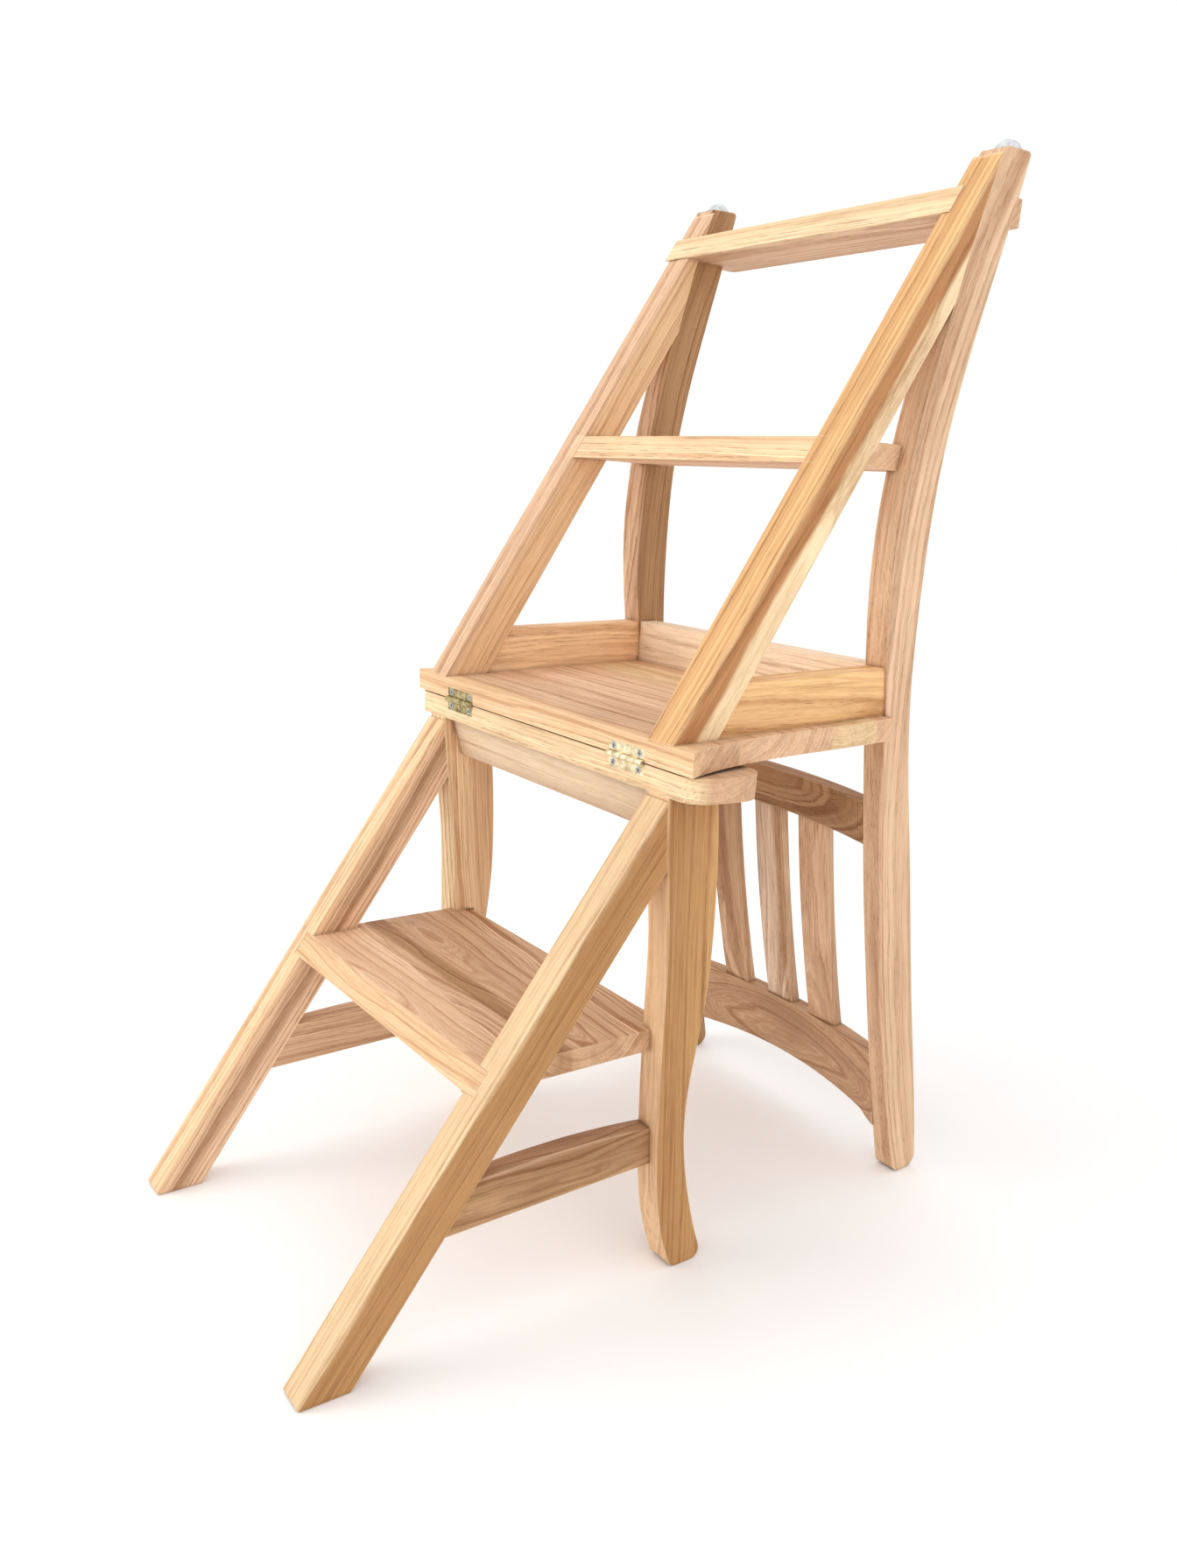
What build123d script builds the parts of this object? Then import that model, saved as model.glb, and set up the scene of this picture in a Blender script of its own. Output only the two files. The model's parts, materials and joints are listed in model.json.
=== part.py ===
from build123d import *
from math import atan, cos, degrees, radians, sin
import os

# A chair that unfolds into library steps, modelled standing open as steps.
# X runs across the steps, Y from the climbing side to the back, Z up. Millimetres.
# The front half stands still. The back half swings about the hinge line at the seat.
# Both halves are drawn about that line, at y = 0, and the origin is moved at the end.

# ---- driving dimensions ----
SEAT_H = 450.0          # floor to hinge line, which is also the height of the chair's seat
AXIS_Y = -1.5           # the hinge pins stand just proud of the boards' hinge edges
LEAN = 2.0              # degrees that the back half leans forward, resting on its posts
BOARD_T = 19.0          # thickness of seat boards and treads
BOARD_GAP = 1.0         # gap between the two seat boards at the hinge
HALF_W = 180.0          # half width over the side frames at the hinge
SIDE_T = 26.0           # thickness of legs and lower stringers
UPPER_T = 28.0          # thickness of upper stringers
POST_T = 23.0           # thickness of posts, whose outer faces stay flush with the stringers
TAPER = 0.016           # how fast each side frame runs inward, away from the hinge
SLOPE = 0.70            # run over rise of the climbing face
STRINGER_RUN = 45.0     # depth of a stringer, measured level
STRINGER_THIN = 0.019   # how fast the upper stringers thin towards their tops
HOUSING = 10.0          # depth of the housings that hold the treads
TENON_L = 14.0
TENON_T = 9.0
TENON_SHOULDER = 6.0
SHORT_TENON_L = 4.5
STRINGER_FOOT_R = 3.0   # rounding of the feet
LEG_FOOT_R = 9.0
POST_FOOT_R = 12.0
DOWEL_R = 4.0
DOWEL_L = 26.0

LOWER_TREAD_TOP = 231.5
LOWER_TREAD_BACK = 37.0
TREAD_TRIM_X = 152.0        # beyond this the lower tread's rear corners are trimmed
TREAD_TRIM_BACK = 31.5
TREAD_HOUSING_BACK = 40.0   # the legs' housings run on behind the trimmed corners
TREAD_JOINT_LEFT = -80.0    # the glue line of the lower tread runs slightly askew
TREAD_JOINT_RIGHT = -109.0
STRINGER_TIP = 3.0          # blunt end of a lower stringer's scarf, below the seat board
RUNG_TOP = 685.5
RUNG_BACK = 250.0
RUNG_DROP = 0.05            # fall over run, towards the back
RUNG_HALF_L = 163.0
TOP_TREAD_TOP = 866.0
TOP_TREAD_BACK = 338.0
TOP_TREAD_DROP = 0.06
TOP_TREAD_NEAR = 166.0      # housed end
TOP_TREAD_FRONT_END = 155.0 # the housed end is cut back this far at the climbing face
TOP_TREAD_FAR = 181.0       # end that laps right across the stringer and just past it
TOP_TREAD_PROUD = 1.5       # how far its front edge stands out of the climbing face
TREAD_LAP = 3.0
TREAD_CORNER_R = 7.0
POST_TOP = 891.5
POST_TOP_R = 3.0
POST_SLOPED = 4.0           # top length of a post that is planed to the climbing face

SEAT_EDGE_HALF_W = 204.0
SEAT_WAIST = [(190, 56), (186, 110)]
SEAT_END_HALF_W = 185.0
SEAT_END_R = 8.0            # rounding where the seat ends beside a post
EAR_FRONT_HALF_W = 206.0
EAR_HALF_W = 213.5
FRONT_BOARD_DEPTH = 70.0
FRONT_BOARD_BOW = 7.0
EAR_FRONT_R = 20.0
EAR_R = 24.0
STAVE_EDGES = [0.0, 58.0, 112.0, 163.0, 214.0, 266.0]

APRON_H = 40.0
APRON_T = 20.0
APRON_INSET = 2.0
REAR_APRON_T = 20.0
FRONT_APRON_Y = 8.5
FRONT_APRON_BOTTOM = 394.0
FRONT_APRON_SPLAY = 0.30    # how fast the front apron slopes back, going down
REAR_APRON_Y = 232.0

HINGE_X = 126.0
HINGE_L = 44.0
LEAF_T = 1.6
LEAF_H = 10.0
KNUCKLE_R = 2.5
PIN_R = 1.3
PIN_CLEARANCE = 0.05
KNUCKLES = 5
KNUCKLE_GAP = 0.35
WEB_T = 1.0
SCREW_X = 16.0
SCREW_DROP = 6.4
SCREW_HEAD_R = 3.0
SCREW_R = 1.5
SCREW_L = 16.0
CROSS_L = 3.4
CROSS_W = 0.8

BACK_RAIL_Z = (347.0, 387.0)
BACK_RAIL_Y = 252.0         # fronts of the back's rails at mid height
BACK_RAIL_LEAN = 0.16       # run over rise of the rails' faces, which follow the posts
CREST_Z = (37.0, 122.0)
CREST_Y = 312.0
CREST_LEAN = 0.23
CREST_BUMP = 9.0            # depth of the small shoulder left beside each post
CREST_BUMP_L = 26.0
CREST_ARCH = 7.0            # rise of the long arch between the shoulders
BACK_BOW = 21.0
RAIL_T = 18.0
RAIL_SHOULDER = 8.0
SLAT_TONGUE = 8.0
SLAT_W = 36.0
SLAT_T = 12.0
SLAT_BEND = 4.0
SLAT_PITCH = 65.0
SLAT_SHIFT = 5.0            # the slats stand a little off centre
SLATS = 3
STRETCHER_FRONT_Z = (102.0, 141.0)
STRETCHER_BACK_Z = (108.0, 140.0)
STRETCHER_T = 18.0
STRETCHER_OUT = 170.0
STRETCHER_BACK = 40.0
STRETCHER_CROWN = 6.5
GLIDE_R = 11.0
GLIDE_H = 8.0
GLIDE_Y = 310.0
NAIL_R = 1.5
NAIL_L = 16.0

BOARD_BOTTOM = SEAT_H + BOARD_GAP / 2
UPPER_DECK = BOARD_BOTTOM + BOARD_T
LOWER_TOP = SEAT_H - BOARD_GAP / 2
LOWER_DECK = LOWER_TOP - BOARD_T
# The climbing faces start from the boards' outer corners, so the halves close face to face.
FACE_OFFSET = SLOPE * (BOARD_T + BOARD_GAP / 2) + 0.65
TOE_IN = degrees(atan(TAPER))
# Each rail of the back, as front face at mid height, low and high edges, and lean.
BACK_RAIL = (BACK_RAIL_Y, BACK_RAIL_Z, BACK_RAIL_LEAN)
CREST = (CREST_Y, CREST_Z, CREST_LEAN)

# Front and back outlines of the curved uprights, as (y, z) from the floor up.
LEG_FRONT = [(50, 0), (30, 60), (20, 150), (16, 250), (13, 320), (4, 385), (0, LOWER_DECK)]
LEG_BACK = [(86, 0), (61, 74), (49, 155), (58, 245), (59, 335), (49, LOWER_DECK)]
POST_FRONT = [(316, 67), (285, 200), (258, 330), (237, 460), (223, 605), (234, 695), (255, 775), (273, 836)]
POST_BACK = [
    (354, 67), (323, 200), (295, 330), (268, 460), (261, 580), (268, 680), (281, 740), (302, 812),
    (325, POST_TOP)]
POST_FOOT_FRONT = 337.0
POST_FOOT_BACK = 370.0


def face_y(z, upper=True):
    """Y of the climbing face at height z."""
    if upper:
        return -FACE_OFFSET + SLOPE * (z - SEAT_H)
    return FACE_OFFSET - SLOPE * (SEAT_H - z)


def half_w(y):
    """Half width over the side frames at distance y from the hinge line."""
    return HALF_W - TAPER * abs(y)


def floor_z(y):
    """Height in the back half's own frame that rests on the floor once it leans."""
    lean = radians(LEAN)
    return SEAT_H - (SEAT_H + (y - AXIS_Y) * sin(lean)) / cos(lean)


def box(x0, x1, y0, y1, z0, z1):
    return Pos((x0 + x1) / 2, (y0 + y1) / 2, (z0 + z1) / 2) * Box(x1 - x0, y1 - y0, z1 - z0)


def side_prism(face, x0, x1):
    """Extrude an outline drawn as (y, z) from x0 to x1."""
    return Pos(x0, 0, 0) * extrude(Plane.YZ * face, x1 - x0, dir=(1, 0, 0))


def plan_prism(face, z0, z1):
    return Pos(0, 0, z0) * extrude(face, z1 - z0, dir=(0, 0, 1))


def toed(solid, upper=True):
    """Turn a right-hand side piece inward about the hinge corner."""
    turn = TOE_IN if upper else -TOE_IN
    return Pos(HALF_W, 0, 0) * Rot(0, 0, turn) * Pos(-HALF_W, 0, 0) * solid


def same(solid):
    return solid


def mirrored(solid):
    return mirror(solid, Plane.YZ)


def cylinder_along(axis, x, y, z, radius, length):
    """A cylinder centred at a point, along X, Y or Z."""
    turn = {"x": Rot(0, 90, 0), "y": Rot(90, 0, 0), "z": Rot(0, 0, 0)}[axis]
    return Pos(x, y, z) * turn * Cylinder(radius, length)


SIDES = (("right", same), ("left", mirrored))


def cut_all(solid, tools):
    for tool in tools:
        solid = solid - tool
    return solid


def rounded_foot(face, radius):
    """Round the two lowest corners of an outline drawn as (y, z)."""
    return fillet(face.vertices().sort_by(Axis.Y)[:2], radius)


def tenons(inner, mid_y, low, high, shoulder):
    """A tenon on each end of a cross rail whose shoulders are at x = inner."""
    half_t = TENON_T / 2
    right = box(inner - 1, inner + TENON_L, mid_y - half_t, mid_y + half_t, low + shoulder, high - shoulder)
    return right + mirrored(right)


# ---- front half ----
def lower_tread_boards():
    bottom = LOWER_TREAD_TOP - BOARD_T
    end = HALF_W - SIDE_T + HOUSING
    section = Polygon(
        (face_y(LOWER_TREAD_TOP, False), LOWER_TREAD_TOP), (LOWER_TREAD_BACK, LOWER_TREAD_TOP),
        (LOWER_TREAD_BACK, bottom), (face_y(bottom, False), bottom), align=None)
    tread = side_prism(section, -end, end)
    trim = box(TREAD_TRIM_X, end + 1, TREAD_TRIM_BACK, LOWER_TREAD_BACK + 1, bottom - 1, LOWER_TREAD_TOP + 1)
    tread = tread - trim - mirrored(trim)
    ahead = Polygon((-end, TREAD_JOINT_LEFT), (end, TREAD_JOINT_RIGHT), (end, -300), (-end, -300), align=None)
    split = plan_prism(ahead, bottom - 1, LOWER_TREAD_TOP + 1)
    return tread & split, tread - split


def front_leg():
    """Curved leg, housed on its inner side for the lower tread."""
    outline = (
        Spline(LEG_FRONT) + Line(LEG_FRONT[-1], LEG_BACK[-1])
        + Spline(LEG_BACK) + Line(LEG_BACK[0], LEG_FRONT[0]))
    leg = side_prism(rounded_foot(make_face(outline), LEG_FOOT_R), HALF_W - SIDE_T, HALF_W)
    return leg - box(
        0, HALF_W - SIDE_T + HOUSING, 0, TREAD_HOUSING_BACK, LOWER_TREAD_TOP - BOARD_T, LOWER_TREAD_TOP)


def lower_stringer():
    """Bar from the floor up to a scarf against the front leg's front face."""
    foot_y = face_y(0, False)
    top_y = face_y(LOWER_DECK, False)
    section = Polygon(
        (foot_y, 0), (foot_y + STRINGER_RUN, 0), (top_y + STRINGER_RUN, LOWER_DECK), (top_y, LOWER_DECK),
        align=None)
    bar = toed(side_prism(rounded_foot(section, STRINGER_FOOT_R), HALF_W - SIDE_T, HALF_W), False)
    behind_leg = LEG_BACK[0][0] + STRINGER_RUN
    leg_side = make_face(
        Spline(LEG_FRONT) + Polyline(LEG_FRONT[-1], (behind_leg, LOWER_DECK), (behind_leg, 0), LEG_FRONT[0]))
    bar = bar - side_prism(leg_side, 0, 2 * HALF_W)
    return bar & box(0, 2 * HALF_W, 2 * foot_y, behind_leg, 0, LOWER_DECK - STRINGER_TIP)


def front_apron():
    """Rail under the front seat board, its foot set back behind its top."""
    inner = HALF_W - SIDE_T
    top_y = FRONT_APRON_Y
    low_y = top_y + FRONT_APRON_SPLAY * (LOWER_DECK - FRONT_APRON_BOTTOM)
    section = Polygon(
        (top_y, LOWER_DECK), (top_y + APRON_T, LOWER_DECK), (low_y + APRON_T, FRONT_APRON_BOTTOM),
        (low_y, FRONT_APRON_BOTTOM), align=None)
    middle = (top_y + low_y + APRON_T) / 2
    body = side_prism(section, -inner, inner)
    return body + tenons(inner, middle, FRONT_APRON_BOTTOM, LOWER_DECK, TENON_SHOULDER)


def side_stretcher():
    """Rail from the stringer back to the front leg, its top edge slightly crowned."""
    low, high = STRETCHER_FRONT_Z
    back_low, back_high = STRETCHER_BACK_Z
    low_y = face_y(low, False) + STRINGER_RUN / 2
    high_y = face_y(high, False) + STRINGER_RUN / 2
    crown = ThreePointArc(
        (high_y, high), ((high_y + STRETCHER_BACK) / 2, high + STRETCHER_CROWN), (STRETCHER_BACK, back_high))
    outline = crown + Polyline(
        (STRETCHER_BACK, back_high), (STRETCHER_BACK, back_low), (low_y, low), (high_y, high))
    return side_prism(make_face(outline), STRETCHER_OUT - STRETCHER_T, STRETCHER_OUT)


def front_seat_board():
    """Narrow board of the seat's front, its ends rounded like ears."""
    front = (EAR_FRONT_HALF_W, 0)
    rear = (EAR_HALF_W, FRONT_BOARD_DEPTH)
    other_front = (-EAR_FRONT_HALF_W, 0)
    other_rear = (-EAR_HALF_W, FRONT_BOARD_DEPTH)
    nose = ThreePointArc(rear, (0, FRONT_BOARD_DEPTH + FRONT_BOARD_BOW), other_rear)
    face = make_face(Line(front, rear) + nose + Line(other_rear, other_front) + Line(other_front, front))
    face = fillet(face.vertices().sort_by(Axis.Y)[:2], EAR_FRONT_R)
    rear_corners = face.vertices().filter_by_position(Axis.Y, FRONT_BOARD_DEPTH - 1, FRONT_BOARD_DEPTH + 1)
    return plan_prism(fillet(rear_corners, EAR_R), LOWER_DECK, LOWER_TOP)


# ---- back half, drawn level and leaned afterwards ----
def rear_seat_outline():
    """The seat narrows to a waist behind the hinge corners and is notched round the posts."""
    notch_y = POST_FRONT[3][0] + 2
    inner = half_w(notch_y) - POST_T - 1
    waist = [(SEAT_EDGE_HALF_W, 0), *SEAT_WAIST, (SEAT_END_HALF_W, notch_y)]
    notch = [waist[-1], (inner, notch_y), (inner, STAVE_EDGES[-1])]
    other_waist = [(-x, y) for x, y in waist]
    other_notch = [(-x, y) for x, y in reversed(notch)]
    edge = Line(other_waist[0], waist[0])
    outline = edge + Spline(waist) + Polyline(*notch, *other_notch) + Spline(other_waist)
    ends = make_face(outline).vertices().filter_by_position(Axis.Y, notch_y - 1, notch_y + 1)
    return fillet([corner for corner in ends if abs(corner.X) > inner + 1], SEAT_END_R)


def rear_seat_staves():
    """The rear seat board as the edge-glued staves that it is made of."""
    board = plan_prism(rear_seat_outline(), BOARD_BOTTOM, UPPER_DECK)
    wide = 2 * EAR_HALF_W
    return [
        board & box(-wide, wide, start, end, BOARD_BOTTOM - 1, UPPER_DECK + 1)
        for start, end in zip(STAVE_EDGES, STAVE_EDGES[1:])]


def post_front():
    """Front outline of a post, from its foot up to where it meets the climbing face."""
    foot = (POST_FOOT_FRONT, floor_z(POST_FOOT_FRONT))
    merge = (face_y(POST_TOP - POST_SLOPED), POST_TOP - POST_SLOPED)
    return Spline([foot] + POST_FRONT + [merge])


def post():
    """Curved upright from its foot on the floor to the glide on its end, sloped there like the stringer."""
    front = post_front()
    foot_back = (POST_FOOT_BACK, floor_z(POST_FOOT_BACK))
    top = Polyline(front @ 1, (face_y(POST_TOP), POST_TOP), POST_BACK[-1])
    face = make_face(front + top + Spline([foot_back] + POST_BACK) + Line(foot_back, front @ 0))
    face = rounded_foot(face, POST_FOOT_R)
    corners = face.vertices().filter_by_position(Axis.Y, POST_TOP - 1, POST_TOP + 1)
    return toed(side_prism(fillet(corners, POST_TOP_R), HALF_W - POST_T, HALF_W))


def upper_stringer():
    """Bar from the seat board up to its scarf against the post's front."""
    top = POST_TOP - POST_SLOPED
    thin = STRINGER_THIN * (top - SEAT_H)
    low_y = face_y(UPPER_DECK)
    high_y = face_y(top)
    section = Polygon(
        (low_y, UPPER_DECK), (low_y + STRINGER_RUN, UPPER_DECK),
        (high_y + STRINGER_RUN - thin, top), (high_y, top), align=None)
    front = post_front()
    behind_post = POST_FOOT_BACK + STRINGER_RUN
    post_side = make_face(
        front + Polyline(front @ 1, (behind_post, top), (behind_post, (front @ 0).Y), front @ 0))
    bar = side_prism(section, HALF_W - UPPER_T, HALF_W) - side_prism(post_side, 0, 2 * HALF_W)
    return toed(bar)


def side_apron(post_solid):
    """Rail on the seat board from the stringer to the post, with a tenon in the post."""
    low, high = UPPER_DECK, UPPER_DECK + APRON_H
    outer = HALF_W - APRON_INSET
    start = face_y(low) + STRINGER_RUN
    into_post = POST_BACK[3][0] - TENON_L
    section = Polygon(
        (start, low), (start + SLOPE * APRON_H, high), (into_post, high), (into_post, low), align=None)
    bar = toed(side_prism(section, outer - APRON_T, outer)) - post_solid
    tenon_out = outer - TENON_SHOULDER
    tenon = box(
        tenon_out - TENON_T, tenon_out, REAR_APRON_Y - STRINGER_RUN, REAR_APRON_Y + REAR_APRON_T,
        low + TENON_SHOULDER, high - TENON_SHOULDER)
    return bar.solids().sort_by(Axis.Y)[0] + toed(tenon)


def rear_apron():
    """Rail on the seat board between the posts, its short tenons clear of the side aprons'."""
    inner = half_w(REAR_APRON_Y) - POST_T
    low, high = UPPER_DECK, UPPER_DECK + APRON_H
    body = box(-inner - 0.5, inner + 0.5, REAR_APRON_Y, REAR_APRON_Y + REAR_APRON_T, low, high)
    reach = inner + SHORT_TENON_L
    tenon_back = REAR_APRON_Y + REAR_APRON_T - 3
    return body + box(
        -reach, reach, tenon_back - TENON_T, tenon_back, low + TENON_SHOULDER, high - TENON_SHOULDER)


def step_section(top, back, drop, proud):
    """Side outline of a shallow step that falls towards the back, its front following the climbing face."""
    front = face_y(top) - proud
    fall = drop * (back - front)
    under = face_y(top - BOARD_T) - proud
    return Polygon(
        (front, top), (back, top - fall), (back, top - fall - BOARD_T), (under, top - BOARD_T), align=None)


def middle_rung():
    """Shallow step housed in the stringers, its ends showing behind them."""
    return side_prism(step_section(RUNG_TOP, RUNG_BACK, RUNG_DROP, 0), -RUNG_HALF_L, RUNG_HALF_L)


def top_tread():
    """Shallow top step: its far end laps right across the stringer's face."""
    section = step_section(TOP_TREAD_TOP, TOP_TREAD_BACK, TOP_TREAD_DROP, TOP_TREAD_PROUD)
    board = side_prism(section, -TOP_TREAD_FAR, TOP_TREAD_NEAR)
    low, high = TOP_TREAD_TOP - 2 * BOARD_T, TOP_TREAD_TOP + 1
    lap_low = (face_y(low) + TREAD_LAP, low)
    lap_high = (face_y(high) + TREAD_LAP, high)
    back = TOP_TREAD_BACK + 1
    behind = Polygon(lap_low, (back, low), (back, high), lap_high, align=None)
    ahead = Polygon(
        lap_low, lap_high, (face_y(high) - BOARD_T, high), (face_y(low) - BOARD_T, low), align=None)
    board = board - side_prism(behind, -2 * TOP_TREAD_FAR, -TOP_TREAD_NEAR)
    board = board - side_prism(ahead, TOP_TREAD_FRONT_END, 2 * TOP_TREAD_FAR)
    rear = board.edges().filter_by(Axis.Z).sort_by(Axis.Y)[-2:]
    return fillet(rear, TREAD_CORNER_R)


def bowed_plan(reach):
    """Plan outline of a back rail that bows away from the climber in the middle."""
    front = ThreePointArc((-reach, 0), (0, BACK_BOW), (reach, 0))
    back = ThreePointArc((reach, RAIL_T), (0, RAIL_T + BACK_BOW), (-reach, RAIL_T))
    return make_face(front + Line((reach, 0), (reach, RAIL_T)) + back + Line((-reach, RAIL_T), (-reach, 0)))


def leaning_prism(face, rail, low, high):
    """Raise a plan outline from low to high, moving forward as the rail's face does."""
    y0, (rail_low, rail_high), lean = rail
    start = y0 + lean * ((rail_low + rail_high) / 2 - low)
    rise = high - low
    return Pos(0, start, low) * Solid.extrude(face.face(), Vector(0, -lean * rise, rise))


def bowed_rail(rail):
    """Bowed rail between the posts, with a leaning tenon on each end."""
    y0, (low, high), _ = rail
    inner = half_w(y0) - POST_T
    body = leaning_prism(bowed_plan(inner + 0.5), rail, low, high)
    end = Pos(inner + TENON_L / 2 - 1, RAIL_T / 2) * Rectangle(TENON_L + 2, TENON_T)
    tenon = leaning_prism(end, rail, low + RAIL_SHOULDER, high - RAIL_SHOULDER)
    return body + tenon + mirrored(tenon)


def crest_rail():
    """The back's broad rail, its lower edge arched between small shoulders."""
    low = CREST_Z[0]
    shoulder = half_w(CREST_Y) - POST_T
    arch_end = shoulder - CREST_BUMP_L
    arch_low = low + CREST_BUMP
    edge = (
        Spline((-shoulder, low), (-arch_end, arch_low), tangents=((1, 0), (1, CREST_ARCH / arch_end)))
        + ThreePointArc((-arch_end, arch_low), (0, arch_low + CREST_ARCH), (arch_end, arch_low))
        + Spline((arch_end, arch_low), (shoulder, low), tangents=((1, -CREST_ARCH / arch_end), (1, 0))))
    below = Polyline((shoulder, low), (shoulder, low - 1), (-shoulder, low - 1), (-shoulder, low))
    arch = make_face(edge + below)
    under = Pos(0, CREST_Y - RAIL_T, 0) * extrude(Plane.XZ * arch, 4 * RAIL_T, dir=(0, 1, 0))
    return bowed_rail(CREST) - under


def rail_front(x, z, rail):
    """Y of a rail's front face at x and height z."""
    y0, (low, high), lean = rail
    reach = half_w(y0) - POST_T
    radius = (reach ** 2 + BACK_BOW ** 2) / (2 * BACK_BOW)
    bow = BACK_BOW - radius + (radius ** 2 - x ** 2) ** 0.5
    return y0 + bow - lean * (z - (low + high) / 2)


def slat(x):
    """Flat back slat, let into both rails, leaning with the posts."""
    inset = (RAIL_T - SLAT_T) / 2
    low_z = CREST_Z[1] - SLAT_TONGUE
    high_z = BACK_RAIL_Z[0] + SLAT_TONGUE
    low_y = rail_front(x, low_z, CREST) + inset
    high_y = rail_front(x, high_z, BACK_RAIL) + inset
    mid_z = (low_z + high_z) / 2
    mid_y = (low_y + high_y) / 2 - SLAT_BEND
    front = ThreePointArc((low_y, low_z), (mid_y, mid_z), (high_y, high_z))
    back = Pos(SLAT_T, 0) * front
    outline = front + Line(front @ 1, back @ 1) + back + Line(back @ 0, front @ 0)
    return side_prism(make_face(outline), x - SLAT_W / 2, x + SLAT_W / 2)


def post_glide():
    """Nylon glide and its nail on the end of a post, which is the chair's back foot."""
    x = half_w(GLIDE_Y) - POST_T / 2
    sphere_r = (GLIDE_R ** 2 + GLIDE_H ** 2) / (2 * GLIDE_H)
    ball = Pos(x, GLIDE_Y, POST_TOP + GLIDE_H - sphere_r) * Sphere(sphere_r)
    above = box(x - GLIDE_R, x + GLIDE_R, GLIDE_Y - GLIDE_R, GLIDE_Y + GLIDE_R, POST_TOP, POST_TOP + GLIDE_H)
    nail = cylinder_along("z", x, GLIDE_Y, POST_TOP + 2 - NAIL_L / 2, NAIL_R, NAIL_L)
    return (ball & above) - nail, nail


# ---- hinges ----
def knuckle_spans(x):
    """The x ranges of the knuckles along a pin, with a gap between neighbours."""
    step = HINGE_L / KNUCKLES
    first = x - HINGE_L / 2
    half_gap = KNUCKLE_GAP / 2
    return [(first + i * step + half_gap, first + (i + 1) * step - half_gap) for i in range(KNUCKLES)]


def leaf(x, upper):
    """One leaf: its plate, and its share of the knuckles on their webs."""
    sign = 1 if upper else -1
    near = SEAT_H + sign * (KNUCKLE_R + 0.1)
    far = SEAT_H + sign * (BOARD_GAP / 2 + LEAF_H)
    solid = box(x - HINGE_L / 2, x + HINGE_L / 2, 0, LEAF_T, min(near, far), max(near, far))
    for start, end in knuckle_spans(x)[int(upper)::2]:
        solid += cylinder_along("x", (start + end) / 2, AXIS_Y, SEAT_H, KNUCKLE_R, end - start)
        solid += box(start, end, 0, WEB_T, min(SEAT_H, near), max(SEAT_H, near))
    bore = PIN_R + PIN_CLEARANCE if upper else PIN_R
    solid -= cylinder_along("x", x, AXIS_Y, SEAT_H, bore, HINGE_L + 2)
    return cut_all(solid, [screw(x + dx, upper) for dx in (-SCREW_X, SCREW_X)])


def screw_z(upper):
    return SEAT_H + (SCREW_DROP if upper else -SCREW_DROP)


def screw(x, upper):
    """Countersunk screw driven into the board's edge, its head flush with the leaf."""
    z = screw_z(upper)
    head = Pos(x, LEAF_T / 2, z) * Rot(-90, 0, 0) * Cone(SCREW_HEAD_R, SCREW_R, LEAF_T)
    return head + cylinder_along("y", x, LEAF_T + SCREW_L / 2, z, SCREW_R, SCREW_L)


def cross_recess(x, upper):
    z = screw_z(upper)
    long, short = CROSS_L / 2, CROSS_W / 2
    depth = LEAF_T / 2
    return box(x - long, x + long, -1, depth, z - short, z + short) + box(
        x - short, x + short, -1, depth, z - long, z + long)


def screws(upper):
    right = [
        screw(HINGE_X + dx, upper) - cross_recess(HINGE_X + dx, upper) for dx in (-SCREW_X, SCREW_X)]
    return right + [mirrored(one) for one in right]


def hinge_pins():
    right = cylinder_along("x", HINGE_X, AXIS_Y, SEAT_H, PIN_R, HINGE_L + 1)
    return [right, mirrored(right)]


def leaf_recesses(upper):
    """What is cut from a board's hinge edge: pockets for leaves and knuckles, and the screws' holes."""
    low, high = (SEAT_H, BOARD_BOTTOM + LEAF_H) if upper else (LOWER_TOP - LEAF_H, SEAT_H)
    right = [box(HINGE_X - HINGE_L / 2, HINGE_X + HINGE_L / 2, -LEAF_H, LEAF_T, low, high)]
    right += [screw(HINGE_X + dx, upper) for dx in (-SCREW_X, SCREW_X)]
    return right + [mirrored(one) for one in right]


# ---- hidden dowels ----
def dowels(right_points, z):
    right = [cylinder_along("z", x, y, z, DOWEL_R, DOWEL_L) for x, y in right_points]
    return right + [mirrored(one) for one in right]


def front_dowels():
    """Two in the front apron and one in each leg, standing up into the front seat board."""
    apron_middle = FRONT_APRON_Y + FRONT_APRON_SPLAY * DOWEL_L / 4 + APRON_T / 2
    return dowels([(70, apron_middle), (HALF_W - SIDE_T / 2, 36)], LOWER_DECK)


def back_dowels():
    """Two in the rear apron, two in each side apron and one in each stringer, down into the seat staves."""
    apron_x = HALF_W - APRON_INSET - APRON_T / 2
    points = [(apron_x - TAPER * y, y) for y in (110, 190)]
    points += [(80, REAR_APRON_Y + REAR_APRON_T / 2), (half_w(24) - SIDE_T / 2, 24)]
    return dowels(points, UPPER_DECK)


# ---- assembly ----
def front_half():
    treads = lower_tread_boards()
    apron = front_apron()
    pegs = front_dowels()
    nodes = {
        "lower_tread_front_board": treads[0],
        "lower_tread_back_board": treads[1],
        "front_apron": cut_all(apron, pegs),
        "front_seat_board": cut_all(front_seat_board(), leaf_recesses(False) + pegs),
        "front_half_dowels": Compound(pegs),
        "hinge_pins": Compound(hinge_pins()),
        "fixed_leaf_screws": Compound(screws(False)),
    }
    for side, turn in SIDES:
        stretcher = turn(side_stretcher())
        nodes[f"{side}_front_leg"] = cut_all(turn(front_leg()), [*treads, apron, stretcher, *pegs])
        nodes[f"{side}_lower_stringer"] = cut_all(turn(lower_stringer()), [*treads, stretcher])
        nodes[f"{side}_side_stretcher"] = stretcher
        nodes[f"{side}_hinge_fixed_leaf"] = turn(leaf(HINGE_X, False))
    return nodes


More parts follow.
